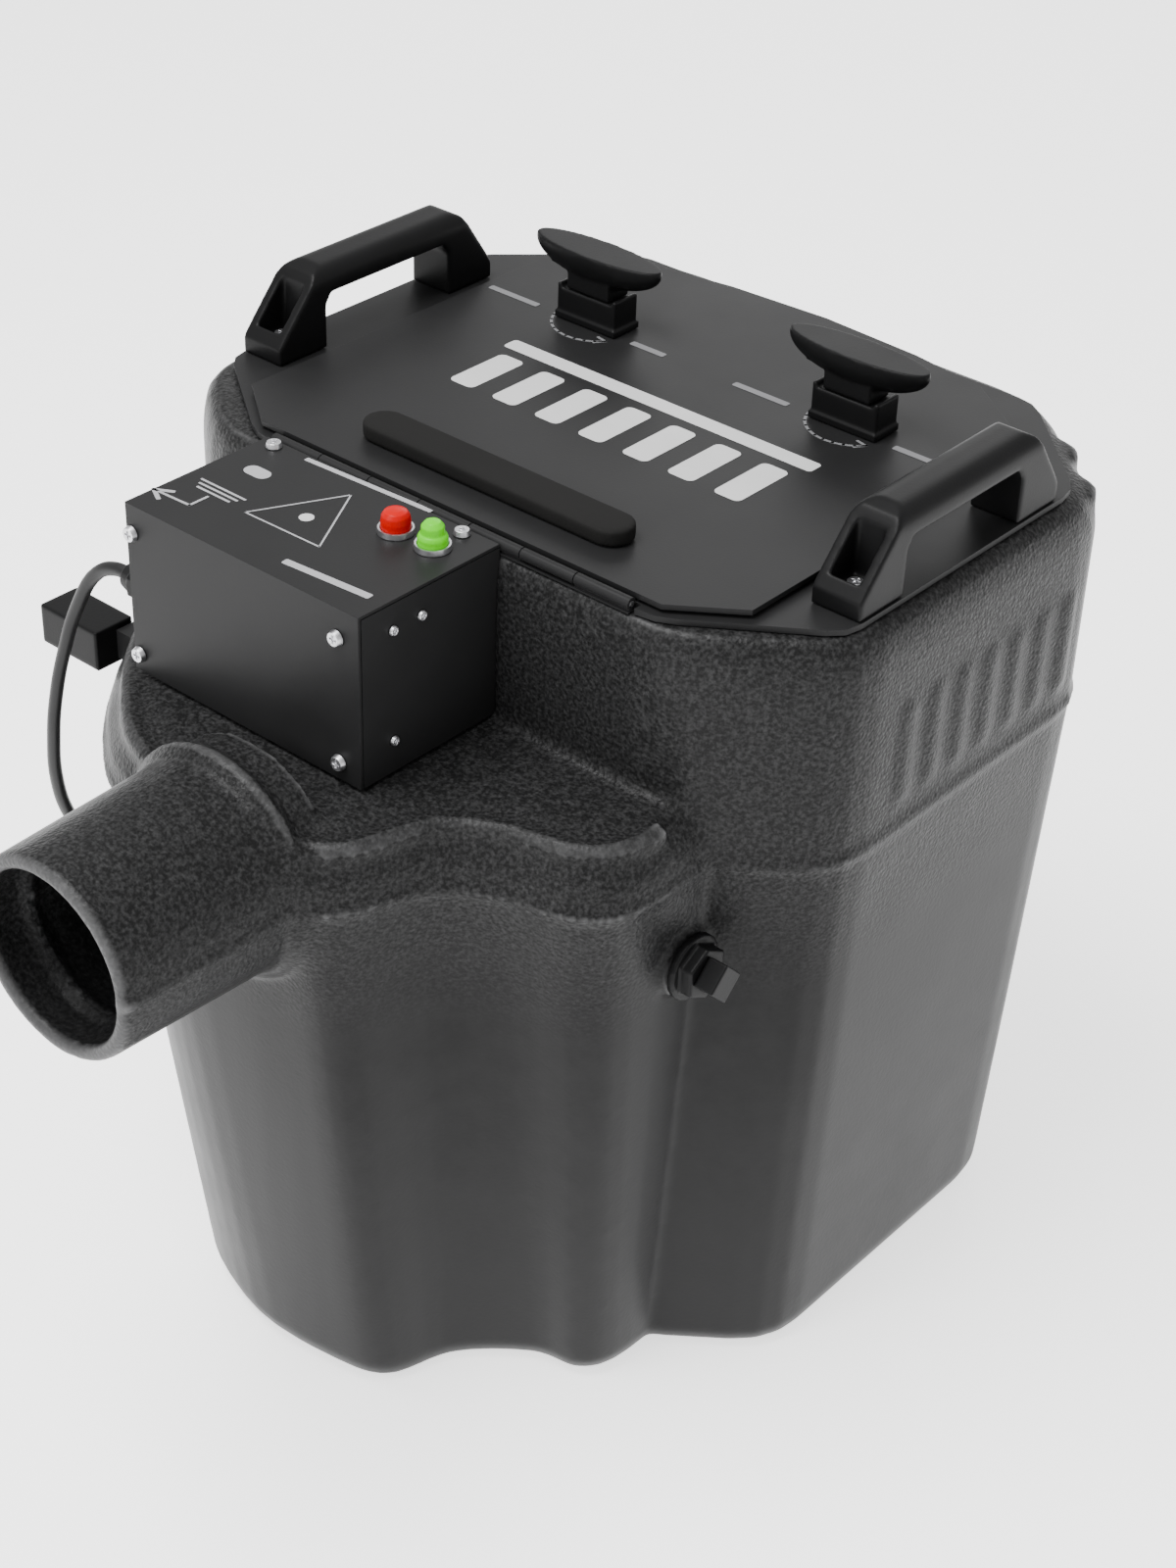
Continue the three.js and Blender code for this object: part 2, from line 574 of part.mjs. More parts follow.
piece("tub_shell", tubShell(), plasticTub());
piece("rim_plate", rimPlate(), blackPaint());
piece("rim_gasket", slab(openingOutline(9), RIM_TOP + GAP, LID_TOP - LID_T - GAP, [openingOutline(3)]),
  rubber());
piece("hinge_fixed_leaf", hingeFixedLeaf(), blackPaint());
piece("hinge_pin", bar("x", PIN_R, -HINGE_HALF, HINGE_HALF, HINGE_Y, HINGE_Z, 12), zincSteel());

for (const [side, s] of [["left", -1], ["right", 1]]) {
  piece(`handle_${side}`, handle(), blackNylon(), [s * HANDLE_X, HANDLE_Y0, RIM_TOP + GAP]);
  HANDLE_SCREW_YS.forEach((y, i) => {
    piece(`handle_${side}_screw_${i ? "rear" : "front"}`, screw(4.6, 3, 2.1, 14), zincSteel(),
      [s * HANDLE_X, y, RIM_TOP + 7 + 2 * GAP]);
  });
}

piece("lid_plate", lidPlate(), blackPaint());
piece("hinge_lid_leaf", hingeLidLeaf(), blackPaint());
piece("bumper_pad", slab(stadium(0, -109.5, 164, 22), LID_TOP + GAP, LID_TOP + 9), rubber());
for (const [side, s] of [["left", -1], ["right", 1]]) {
  const at = [s * LATCH_X, LATCH_Y, 0];
  piece(`latch_collar_${side}`, latchCollar(), blackNylon(), at);
  piece(`latch_handle_${side}`, latchHandle(), blackNylon(), at);
  piece(`latch_cam_${side}`, latchCam(), stainless(), at, [0, 0, s < 0 ? Math.PI : 0]);
}

piece("control_cover", controlCover(), blackPaint());
piece("control_chassis", controlChassis(), blackPaint());
FRONT_SCREWS.forEach(([x, z], i) => {
  piece(`cover_front_screw_${i + 1}`, screw(4.2, 2.6, 1.9, 7), zincSteel(), [x, BOX.y0 - GAP, z],
    [Math.PI / 2, 0, 0]);
});
TOP_SCREWS.forEach(([x, y], i) => {
  piece(`cover_top_screw_${i + 1}`, screw(4.2, 2.6, 1.9, 7), zincSteel(), [x, y, BOX.z1 + GAP]);
});
SIDE_SCREWS.forEach(([y, z], i) => {
  piece(`side_screw_${i + 1}`, screw(2.6, 1.5, 1.3, 6), zincSteel(), [BOX.x1 + GAP, y, z],
    [0, Math.PI / 2, 0]);
});
for (const b of BUTTONS) {
  piece(`${b.name}_bezel`, buttonBezel(), zincSteel(), [b.x, b.y, 0]);
  piece(`${b.name}_button`, buttonCap(b.name === "green"), finish(b.color, 0.35), [b.x, b.y, 0]);
}
piece("cable_gland", cableGland(), blackNylon(), [0, GLAND.y, GLAND.z]);
const BOX_FLOOR = BOX.z0 + SHEET + GAP;
piece("terminal_block", block(-44, -8, -176, -160, BOX_FLOOR, BOX.z0 + 22), finish(0xd8d2c2, 0.6));
piece("contactor", block(-98, -60, -178, -152, BOX_FLOOR, BOX.z0 + 52), finish(0x3c3c3e, 0.6));

piece("heating_element", heatingElement(), stainless());
piece("heater_flange", heaterFlange(), stainless());
piece("thermostat_probe", bar("z", 3, 150, 384, ...PROBE, 12), stainless());
piece("level_rod", bar("z", 3, 230, 384, ...LEVEL_ROD, 12), stainless());
piece("ice_basket", iceBasket(), stainless());

const bushHex = bar("x", 14, DRAIN.x + 3.5, DRAIN.x + 11, 0, 0, 6);
const bushFlange = bar("x", 17, DRAIN.x + GAP, DRAIN.x + 4, 0, 0, 20);
const bushTail = bar("x", 8.6, DRAIN.x - 22, DRAIN.x + 2, 0, 0, 20);
const bush = cut(join(bushHex, bushFlange, bushTail), bar("x", 6.4, 100, 200, 0, 0, 16));
piece("drain_bush", bush, blackNylon(), [0, DRAIN.y, DRAIN.z]);
const plugHead = bar("x", 11, DRAIN.x + 11.4, DRAIN.x + 22, 0, 0, 4);
const plugShank = bar("x", 6, DRAIN.x - 8, DRAIN.x + 12, 0, 0, 16);
piece("drain_plug", join(plugHead, plugShank), blackNylon(), [0, DRAIN.y, DRAIN.z]);

const bracket = cut(block(-172, -150, -200, -186, 334, 350), plenumSolid(GAP));
piece("connector_bracket", bracket, blackPaint());
piece("accessory_connector", block(-215, -172.4, -213, -189, 331, 353), blackNylon());

piece("cord_tube", tube(path(CORD_ROUTE), CORD_D / 2, 10, 78), rubber());
piece("cord_coil", cordCoil(), rubber(), [...COIL_CENTRE, 0]);
piece("cord_tie", cordTie(), blackNylon(), [...COIL_CENTRE, 0]);
piece("mains_plug", mainsPlug(), blackNylon(), [...COIL_CENTRE, 0]);

export default model;
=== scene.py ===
"""A low-fog machine: a moulded tub with a latched lid, a control box and a duct nozzle.

The CAD nodes give every place and size. Mouldings are made from merged copies of them with
their edges worked round, sheet metal gets its pressed edges, and the printed marks, the cord
and the finishes are made here. Metres, +Z up, the nozzle points along -Y.
"""
import json
import math

import bpy
from mathutils import Matrix, Vector

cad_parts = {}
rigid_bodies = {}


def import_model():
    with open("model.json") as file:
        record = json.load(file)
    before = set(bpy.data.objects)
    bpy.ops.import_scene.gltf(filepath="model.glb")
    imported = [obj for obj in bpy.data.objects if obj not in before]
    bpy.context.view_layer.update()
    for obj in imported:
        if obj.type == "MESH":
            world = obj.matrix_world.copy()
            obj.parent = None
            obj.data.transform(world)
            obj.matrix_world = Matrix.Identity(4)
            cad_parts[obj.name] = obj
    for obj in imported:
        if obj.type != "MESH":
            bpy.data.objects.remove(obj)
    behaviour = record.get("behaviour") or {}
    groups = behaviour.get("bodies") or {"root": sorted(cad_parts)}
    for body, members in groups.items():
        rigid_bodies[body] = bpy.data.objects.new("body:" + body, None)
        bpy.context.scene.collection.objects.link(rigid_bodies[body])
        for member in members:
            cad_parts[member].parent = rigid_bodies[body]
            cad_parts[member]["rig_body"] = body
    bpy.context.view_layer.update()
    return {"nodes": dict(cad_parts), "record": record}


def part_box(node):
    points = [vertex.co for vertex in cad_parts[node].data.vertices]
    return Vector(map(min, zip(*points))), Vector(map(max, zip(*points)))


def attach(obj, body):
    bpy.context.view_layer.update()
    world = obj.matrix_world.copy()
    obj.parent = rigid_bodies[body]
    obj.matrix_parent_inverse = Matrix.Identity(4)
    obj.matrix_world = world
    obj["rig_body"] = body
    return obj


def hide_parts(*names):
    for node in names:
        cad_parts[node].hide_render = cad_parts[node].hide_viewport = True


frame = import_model()

MM = 0.001
NODES = frame["nodes"]
SLOT_OF = {part["node"]: part["material_slot"] for part in frame["record"]["subparts"]}

LID_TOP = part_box("lid_plate")[1].z
BOX_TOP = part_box("control_cover")[1].z
PARTING_Z = 0.336
NOZZLE_X = -0.005
NOZZLE_R = 0.050
LATCHES = [-0.0825, 0.0825]
LATCH_Y = 0.058
BLADE_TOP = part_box("latch_handle_left")[1].z
ARC_R = 0.0235


# ---- view, light and ground ------------------------------------------------------------
def camera():
    azimuth, elevation, roll = (math.radians(v) for v in (39.73, 34.35, 2.096))
    back = Vector((math.sin(azimuth) * math.cos(elevation),
                   -math.cos(azimuth) * math.cos(elevation), math.sin(elevation)))
    right = Vector((math.cos(azimuth), math.sin(azimuth), 0))
    up = back.cross(right)
    across = right * math.cos(roll) + up * math.sin(roll)
    upright = up * math.cos(roll) - right * math.sin(roll)
    data = bpy.data.cameras.new("camera")
    data.lens = 84.4
    data.sensor_width = 36
    data.sensor_fit = "HORIZONTAL"
    data.clip_end = 50
    view = bpy.data.objects.new("camera", data)
    view.matrix_world = Matrix((across, upright, back)).transposed().to_4x4()
    view.location = (0.76209, -0.95128, 1.07027)
    bpy.context.scene.collection.objects.link(view)
    bpy.context.scene.camera = view


def softbox(name, place, aim, size, power):
    data = bpy.data.lights.new(name, "AREA")
    data.shape = "RECTANGLE"
    data.size, data.size_y = size
    data.energy = power
    lamp = bpy.data.objects.new(name, data)
    lamp.location = place
    lamp.rotation_euler = (Vector(place) - Vector(aim)).to_track_quat("Z", "Y").to_euler()
    bpy.context.scene.collection.objects.link(lamp)


def studio():
    """Soft lamps in a pale room, on a floor that glows a little to stay near white."""
    middle = (0, 0, 0.25)
    softbox("key_above", (-0.3, -0.7, 2.2), middle, (1.2, 0.8), 62)
    softbox("fill_front", (-0.5, -2.3, 1.6), middle, (1.6, 1.0), 26)
    softbox("rim_right", (2.6, 0.3, 0.9), middle, (0.8, 1.4), 3)
    softbox("back_wash", (-1.2, 2.4, 1.8), middle, (1.6, 1.2), 13)
    world = bpy.data.worlds.new("pale_room")
    bpy.context.scene.world = world
    world.use_nodes = True
    world.node_tree.nodes["Background"].inputs["Color"].default_value = (1, 1, 1, 1)
    world.node_tree.nodes["Background"].inputs["Strength"].default_value = 1.0
    bpy.ops.object.select_all(action="DESELECT")
    bpy.ops.mesh.primitive_plane_add(size=14, location=(0, 0, -0.0004))
    ground = bpy.context.object
    ground.name = "studio_floor"
    paint = plastic("floor_paint", (0.96, 0.96, 0.96), 0.8, 60, 0.01, 0.01, glow=1.6)
    ground.data.materials.append(paint)


# ---- finishes ----------------------------------------------------------------------------
def plastic(name, colour, roughness, grain, depth, mottle, shine=0.5, glow=0.0):
    """A plain moulded, coated or printed surface: a fine grain in relief and a soft mottle."""
    material = bpy.data.materials.new(name)
    material.use_nodes = True
    nodes, links = material.node_tree.nodes, material.node_tree.links
    nodes.clear()
    colour_frame = nodes.new("NodeFrame")
    colour_frame.label = "colour: soft mottle"
    relief_frame = nodes.new("NodeFrame")
    relief_frame.label = "relief: moulded grain"
    output = nodes.new("ShaderNodeOutputMaterial")
    output.label = "surface"
    shader = nodes.new("ShaderNodeBsdfPrincipled")
    shader.label = "moulded skin"
    place = nodes.new("ShaderNodeTexCoord")
    place.label = "object place"
    direction = nodes.new("ShaderNodeMapping")
    direction.label = "grain a little finer upright"
    cloud = nodes.new("ShaderNodeTexNoise")
    cloud.label = "handling and dust"
    shade = nodes.new("ShaderNodeValToRGB")
    shade.label = "light and dark of the skin"
    dull = nodes.new("ShaderNodeMapRange")
    dull.label = "duller where dusty"
    speck = nodes.new("ShaderNodeTexNoise")
    speck.label = "fine grain"
    cells = nodes.new("ShaderNodeTexVoronoi")
    cells.label = "pebbled cells"
    blend = nodes.new("ShaderNodeMath")
    blend.label = "grain over cells"
    bump = nodes.new("ShaderNodeBump")
    bump.label = "grain relief"
    spots = [(900, 0), (640, 0), (-900, 0), (-700, 0), (-460, 260), (-180, 260), (-180, -20),
             (-460, -220), (-460, -460), (-180, -300), (160, -260)]
    order = [output, shader, place, direction, cloud, shade, dull, speck, cells, blend, bump]
    for node, spot in zip(order, spots):
        node.location = spot
    for node in (cloud, shade, dull):
        node.parent = colour_frame
    for node in (speck, cells, blend, bump):
        node.parent = relief_frame
    direction.inputs["Scale"].default_value = (1, 1, 1.15)
    cloud.inputs["Scale"].default_value = 18
    cloud.inputs["Detail"].default_value = 6
    cloud.inputs["Roughness"].default_value = 0.6
    shade.color_ramp.elements[0].position = 0.3
    shade.color_ramp.elements[1].position = 0.72
    shade.color_ramp.elements[0].color = (*(c * (1 - mottle) for c in colour), 1)
    shade.color_ramp.elements[1].color = (*(min(1, c * (1 + mottle)) for c in colour), 1)
    dull.inputs["To Min"].default_value = max(0.05, roughness - 0.07)
    dull.inputs["To Max"].default_value = min(1, roughness + 0.09)
    speck.inputs["Scale"].default_value = grain * 2.5
    speck.inputs["Detail"].default_value = 4
    cells.inputs["Scale"].default_value = grain
    blend.operation = "MULTIPLY_ADD"
    blend.inputs[1].default_value = 0.6
    bump.inputs["Strength"].default_value = 0.5
    bump.inputs["Distance"].default_value = depth * MM
    shader.inputs["Specular IOR Level"].default_value = shine
    # glow: an even glow that keeps the floor white, and a painted glow on the red and green caps
    shader.inputs["Emission Color"].default_value = (*colour, 1)
    shader.inputs["Emission Strength"].default_value = glow
    links.new(place.outputs["Object"], direction.inputs["Vector"])
    links.new(direction.outputs["Vector"], cloud.inputs["Vector"])
    links.new(direction.outputs["Vector"], speck.inputs["Vector"])
    links.new(direction.outputs["Vector"], cells.inputs["Vector"])
    links.new(cloud.outputs["Fac"], shade.inputs["Fac"])
    links.new(cloud.outputs["Fac"], dull.inputs["Value"])
    links.new(speck.outputs["Fac"], blend.inputs[0])
    links.new(cells.outputs["Distance"], blend.inputs[2])
    links.new(blend.outputs["Value"], bump.inputs["Height"])
    links.new(shade.outputs["Color"], shader.inputs["Base Color"])
    links.new(dull.outputs["Result"], shader.inputs["Roughness"])
    links.new(bump.outputs["Normal"], shader.inputs["Normal"])
    links.new(shader.outputs["BSDF"], output.inputs["Surface"])
    return material


def metal(name, colour, roughness, streak, depth):
    """Bare or plated metal, with streaks along the direction that streak leaves long."""
    material = bpy.data.materials.new(name)
    material.use_nodes = True
    nodes, links = material.node_tree.nodes, material.node_tree.links
    nodes.clear()
    tone_frame = nodes.new("NodeFrame")
    tone_frame.label = "colour and gloss: rolled tone"
    relief_frame = nodes.new("NodeFrame")
    relief_frame.label = "relief: drawn lines"
    output = nodes.new("ShaderNodeOutputMaterial")
    output.label = "surface"
    shader = nodes.new("ShaderNodeBsdfPrincipled")
    shader.label = "metal"
    place = nodes.new("ShaderNodeTexCoord")
    place.label = "object place"
    direction = nodes.new("ShaderNodeMapping")
    direction.label = "run of the lines"
    lines = nodes.new("ShaderNodeTexNoise")
    lines.label = "drawn lines"
    stain = nodes.new("ShaderNodeTexNoise")
    stain.label = "passivation stain"
    tone = nodes.new("ShaderNodeValToRGB")
    tone.label = "bright and stained"
    gloss = nodes.new("ShaderNodeMapRange")
    gloss.label = "uneven polish"
    bump = nodes.new("ShaderNodeBump")
    bump.label = "line relief"
    spots = [(800, 0), (540, 0), (-900, 0), (-700, 0), (-460, -240), (-460, 240), (-180, 240),
             (-180, -20), (-180, -300)]
    for node, spot in zip([output, shader, place, direction, lines, stain, tone, gloss, bump], spots):
        node.location = spot
    for node in (stain, tone, gloss):
        node.parent = tone_frame
    for node in (lines, bump):
        node.parent = relief_frame
    direction.inputs["Scale"].default_value = streak
    lines.inputs["Scale"].default_value = 400
    lines.inputs["Detail"].default_value = 3
    stain.inputs["Scale"].default_value = 45
    stain.inputs["Detail"].default_value = 5
    tone.color_ramp.elements[0].position = 0.3
    tone.color_ramp.elements[0].color = (*(c * 0.78 for c in colour), 1)
    tone.color_ramp.elements[1].position = 0.7
    tone.color_ramp.elements[1].color = (*colour, 1)
    gloss.inputs["To Min"].default_value = roughness - 0.08
    gloss.inputs["To Max"].default_value = roughness + 0.14
    bump.inputs["Strength"].default_value = 0.35
    bump.inputs["Distance"].default_value = depth * MM
    shader.inputs["Metallic"].default_value = 1
    links.new(place.outputs["Object"], direction.inputs["Vector"])
    links.new(direction.outputs["Vector"], lines.inputs["Vector"])
    links.new(place.outputs["Object"], stain.inputs["Vector"])
    links.new(stain.outputs["Fac"], tone.inputs["Fac"])
    links.new(lines.outputs["Fac"], gloss.inputs["Value"])
    links.new(lines.outputs["Fac"], bump.inputs["Height"])
    links.new(tone.outputs["Color"], shader.inputs["Base Color"])
    links.new(gloss.outputs["Result"], shader.inputs["Roughness"])
    links.new(bump.outputs["Normal"], shader.inputs["Normal"])
    links.new(shader.outputs["BSDF"], output.inputs["Surface"])
    return material


def tub_skin():
    """Roto-moulded polyethylene: a dark leather grain above the parting line, fading below it
    into a smoother skin. Painted floor light makes the smooth skin lighter toward the floor,
    and a painted highlight lies on the raised ridges."""
    material = bpy.data.materials.new("tub_skin")
    material.use_nodes = True
    nodes, links = material.node_tree.nodes, material.node_tree.links
    nodes.clear()
    zone_frame = nodes.new("NodeFrame")
    zone_frame.label = "zones: grained above, smooth toward the floor"
    colour_frame = nodes.new("NodeFrame")
    colour_frame.label = "colour: mottle of each zone, and painted highlights on the ridges"
    relief_frame = nodes.new("NodeFrame")
    relief_frame.label = "relief: leather grain and orange peel"
    output = nodes.new("ShaderNodeOutputMaterial")
    output.label = "surface"
    shader = nodes.new("ShaderNodeBsdfPrincipled")
    shader.label = "polyethylene"
    place = nodes.new("ShaderNodeTexCoord")
    place.label = "object place"
    split = nodes.new("ShaderNodeSeparateXYZ")
    split.label = "height on the tub"
    above = nodes.new("ShaderNodeMapRange")
    above.label = "grained zone, fading out below the line"
    grain = nodes.new("ShaderNodeTexNoise")
    grain.label = "leather grain"
    pores = nodes.new("ShaderNodeTexVoronoi")
    pores.label = "pores in the grain"
    peel = nodes.new("ShaderNodeTexNoise")
    peel.label = "orange peel"
    cloud = nodes.new("ShaderNodeTexNoise")
    cloud.label = "wiped and scuffed patches"
    upper = nodes.new("ShaderNodeValToRGB")
    upper.label = "dark grained skin"
    lower = nodes.new("ShaderNodeValToRGB")
    lower.label = "smooth skin below the line"
    # painted floor light: toward the floor the smooth skin is mixed to a lighter grey, standing in for
    # the light that the floor throws up
    fade = nodes.new("ShaderNodeMapRange")
    fade.label = "painted floor light, stronger toward the floor"
    painted_floor_light = nodes.new("ShaderNodeMix")
    painted_floor_light.label = "painted floor light mixed in down the wall"
    zone_colour = nodes.new("ShaderNodeMix")
    zone_colour.label = "colour by zone"
    dull = nodes.new("ShaderNodeMapRange")
    dull.label = "roughness by patch"
    coarse = nodes.new("ShaderNodeMath")
    coarse.label = "grain with pores"
    zone_height = nodes.new("ShaderNodeMix")
    zone_height.label = "relief by zone"
    bump = nodes.new("ShaderNodeBump")
    bump.label = "moulded relief"
    form = nodes.new("ShaderNodeNewGeometry")
    form.label = "form of the tub"
    proud = nodes.new("ShaderNodeMapRange")
    proud.label = "proud ridges"
    ridge_highlight = nodes.new("ShaderNodeMix")
    ridge_highlight.label = "painted highlight on the ridges"
    flat = nodes.new("ShaderNodeMath")
    flat.label = "peel is a fifth as deep"
    spots = [(1100, 0), (840, 0), (-1100, 0), (-880, 160), (-640, 200), (-640, -260), (-640, -520),
             (-640, -760), (-640, 480), (-360, 560), (-360, 320), (-640, 760), (-60, 420),
             (240, 320), (240, 80), (-360, -360), (-60, -420), (300, -300), (-60, 860), (240, 760),
             (500, 420), (-360, -700)]
    order = [output, shader, place, split, above, grain, pores, peel, cloud, upper, lower, fade,
             painted_floor_light, zone_colour, dull, coarse, zone_height, bump, form, proud, ridge_highlight, flat]
    for node, spot in zip(order, spots):
        node.location = spot
    for node in (split, above, fade):
        node.parent = zone_frame
    for node in (cloud, upper, lower, painted_floor_light, zone_colour, dull, form, proud, ridge_highlight):
        node.parent = colour_frame
    for node in (grain, pores, peel, flat, coarse, zone_height, bump):
        node.parent = relief_frame
    above.inputs["From Min"].default_value = PARTING_Z - 0.085
    above.inputs["From Max"].default_value = PARTING_Z - 0.005
    fade.inputs["From Min"].default_value = 0.29
    fade.inputs["From Max"].default_value = 0.0
    grain.inputs["Scale"].default_value = 480
    grain.inputs["Detail"].default_value = 5
    grain.inputs["Roughness"].default_value = 0.62
    pores.inputs["Scale"].default_value = 480
    peel.inputs["Scale"].default_value = 420
    peel.inputs["Detail"].default_value = 2
    cloud.inputs["Scale"].default_value = 26
    cloud.inputs["Detail"].default_value = 10
    cloud.inputs["Roughness"].default_value = 0.72
    upper.color_ramp.elements[0].position = 0.42
    upper.color_ramp.elements[0].color = (0.0075, 0.0075, 0.0076, 1)
    upper.color_ramp.elements[1].position = 0.74
    upper.color_ramp.elements[1].color = (0.034, 0.034, 0.0345, 1)
    lower.color_ramp.elements[0].position = 0.38
    lower.color_ramp.elements[0].color = (0.0045, 0.0045, 0.0046, 1)
    lower.color_ramp.elements[1].position = 0.70
    lower.color_ramp.elements[1].color = (0.011, 0.011, 0.0112, 1)
    painted_floor_light.data_type = "RGBA"
    # the lighter grey of the painted floor light
    painted_floor_light.inputs[7].default_value = (0.017, 0.017, 0.0173, 1)
    zone_colour.data_type = "RGBA"
    dull.inputs["To Min"].default_value = 0.26
    dull.inputs["To Max"].default_value = 0.44
    coarse.operation = "MULTIPLY_ADD"
    coarse.inputs[1].default_value = 0.8
    zone_height.data_type = "FLOAT"
    bump.inputs["Strength"].default_value = 0.7
    bump.inputs["Distance"].default_value = 0.4 * MM
    shader.inputs["Specular IOR Level"].default_value = 0.08
    # painted highlight: where the skin is proud (high pointiness) it is mixed toward a light grey,
    # standing in for the gloss on the ridges
    proud.inputs["From Min"].default_value = 0.52
    proud.inputs["From Max"].default_value = 0.58
    ridge_highlight.data_type = "RGBA"
    # the light grey of the painted ridge highlight
    ridge_highlight.inputs[7].default_value = (0.15, 0.15, 0.152, 1)
    links.new(form.outputs["Pointiness"], proud.inputs["Value"])
    links.new(proud.outputs["Result"], ridge_highlight.inputs[0])
    links.new(zone_colour.outputs[2], ridge_highlight.inputs[6])
    flat.operation = "MULTIPLY"
    flat.inputs[1].default_value = 0.22
    links.new(place.outputs["Object"], split.inputs["Vector"])
    for texture in (grain, pores, peel, cloud):
        links.new(place.outputs["Object"], texture.inputs["Vector"])
    links.new(split.outputs["Z"], above.inputs["Value"])
    links.new(split.outputs["Z"], fade.inputs["Value"])
    links.new(grain.outputs["Fac"], upper.inputs["Fac"])
    links.new(cloud.outputs["Fac"], lower.inputs["Fac"])
    links.new(fade.outputs["Result"], painted_floor_light.inputs[0])
    links.new(lower.outputs["Color"], painted_floor_light.inputs[6])
    links.new(above.outputs["Result"], zone_colour.inputs[0])
    links.new(painted_floor_light.outputs[2], zone_colour.inputs[6])
    links.new(upper.outputs["Color"], zone_colour.inputs[7])
    links.new(cloud.outputs["Fac"], dull.inputs["Value"])
    links.new(grain.outputs["Fac"], coarse.inputs[0])
    links.new(pores.outputs["Distance"], coarse.inputs[2])
    links.new(peel.outputs["Fac"], flat.inputs[0])
    links.new(above.outputs["Result"], zone_height.inputs[0])
    links.new(flat.outputs["Value"], zone_height.inputs[2])
    links.new(coarse.outputs["Value"], zone_height.inputs[3])
    links.new(zone_height.outputs[0], bump.inputs["Height"])
    links.new(ridge_highlight.outputs[2], shader.inputs["Base Color"])
    links.new(dull.outputs["Result"], shader.inputs["Roughness"])
    links.new(bump.outputs["Normal"], shader.inputs["Normal"])
    links.new(shader.outputs["BSDF"], output.inputs["Surface"])
    return material


FINISH = {
    "tub_plastic": tub_skin(),
    "black_paint": plastic("satin_coat", (0.012, 0.012, 0.0123), 0.42, 900, 0.03, 0.12, shine=0.11),
    "black_nylon": plastic("satin_nylon", (0.005, 0.005, 0.0052), 0.38, 700, 0.04, 0.14, shine=0.09),
    "rubber": plastic("matt_rubber", (0.0100, 0.0098, 0.0095), 0.75, 800, 0.08, 0.12, shine=0.07),
    "zinc_steel": metal("bright_zinc", (0.66, 0.66, 0.68), 0.30, (1, 1, 1), 0.02),
    "stainless": metal("brushed_steel", (0.50, 0.51, 0.53), 0.34, (0.06, 1, 1), 0.03),
    # The red and green caps glow a little: a painted glow that brightens their colour.
    "red_plastic": plastic("red_cap", (0.42, 0.0, 0.0), 0.3, 300, 0.01, 0.05, shine=0.1, glow=0.1),
    "green_plastic": plastic("green_cap", (0.075, 0.48, 0.0), 0.3, 300, 0.01, 0.05, shine=0.1, glow=0.15),
    "pale_plastic": plastic("pale_moulding", (0.62, 0.58, 0.50), 0.55, 500, 0.05, 0.08),
    "grey_plastic": plastic("grey_moulding", (0.06, 0.06, 0.065), 0.5, 500, 0.05, 0.1),
}
CORD_JACKET = plastic("cord_jacket", (0.006, 0.006, 0.0063), 0.40, 600, 0.04, 0.15, shine=0.25)
LID_INK = plastic("pale_ink", (0.46, 0.46, 0.46), 0.6, 900, 0.02, 0.06, shine=0.2)
BOX_INK = plastic("grey_ink", (0.30, 0.30, 0.31), 0.6, 900, 0.02, 0.06, shine=0.2)
FAINT_INK = plastic("faint_ink", (0.14, 0.14, 0.145), 0.6, 900, 0.02, 0.06, shine=0.2)


# ---- working steps -------------------------------------------------------------------------
def only(piece):
    bpy.ops.object.select_all(action="DESELECT")
    piece.select_set(True)
    bpy.context.view_layer.objects.active = piece
    return piece


def worked(piece, kind, **settings):
    """Adds a modifier with these settings and applies it."""
    only(piece)
    step = piece.modifiers.new(kind.lower(), kind)
    for setting, value in settings.items():
        setattr(step, setting, value)
    bpy.ops.object.modifier_apply(modifier=step.name)
    return piece


def settled(piece):
    """Puts the piece's place into its mesh, with the object at the origin."""
    only(piece)
    bpy.ops.object.transform_apply(location=True, rotation=True, scale=True)
    return piece


def copy_of(node, name):
    """A merged copy of a CAD node's mesh, to be worked on."""
    piece = bpy.data.objects.new(name, NODES[node].data.copy())
    bpy.context.scene.collection.objects.link(piece)
    only(piece)
    piece.data.materials.clear()
    bpy.ops.mesh.customdata_custom_splitnormals_clear()
    bpy.ops.object.mode_set(mode="EDIT")
    bpy.ops.mesh.select_all(action="SELECT")
    bpy.ops.mesh.remove_doubles(threshold=0.02 * MM)
    bpy.ops.mesh.dissolve_limited(angle_limit=math.radians(0.5))
    bpy.ops.object.mode_set(mode="OBJECT")
    return piece


def stands_for(piece, *nodes, finish=None):
    """The piece takes the body, the slot and the finish of the CAD nodes that it replaces."""
    slot = SLOT_OF[nodes[0]]
    piece.data.materials.clear()
    piece.data.materials.append(finish or FINISH[slot])
    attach(piece, NODES[nodes[0]]["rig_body"])
    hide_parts(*nodes)
    return piece


def belongs(piece, body, finish):
    piece.data.materials.clear()
    piece.data.materials.append(finish)
    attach(piece, body)
    return piece


def moulded(node, name, voxel, rounds):
    """A moulding: the node's shape with its edges worked round and its faces fair."""
    piece = copy_of(node, name)
    worked(piece, "REMESH", mode="VOXEL", voxel_size=voxel * MM)
    worked(piece, "SMOOTH", factor=0.5, iterations=rounds)
    only(piece)
    bpy.ops.object.shade_smooth()
    return stands_for(piece, node)


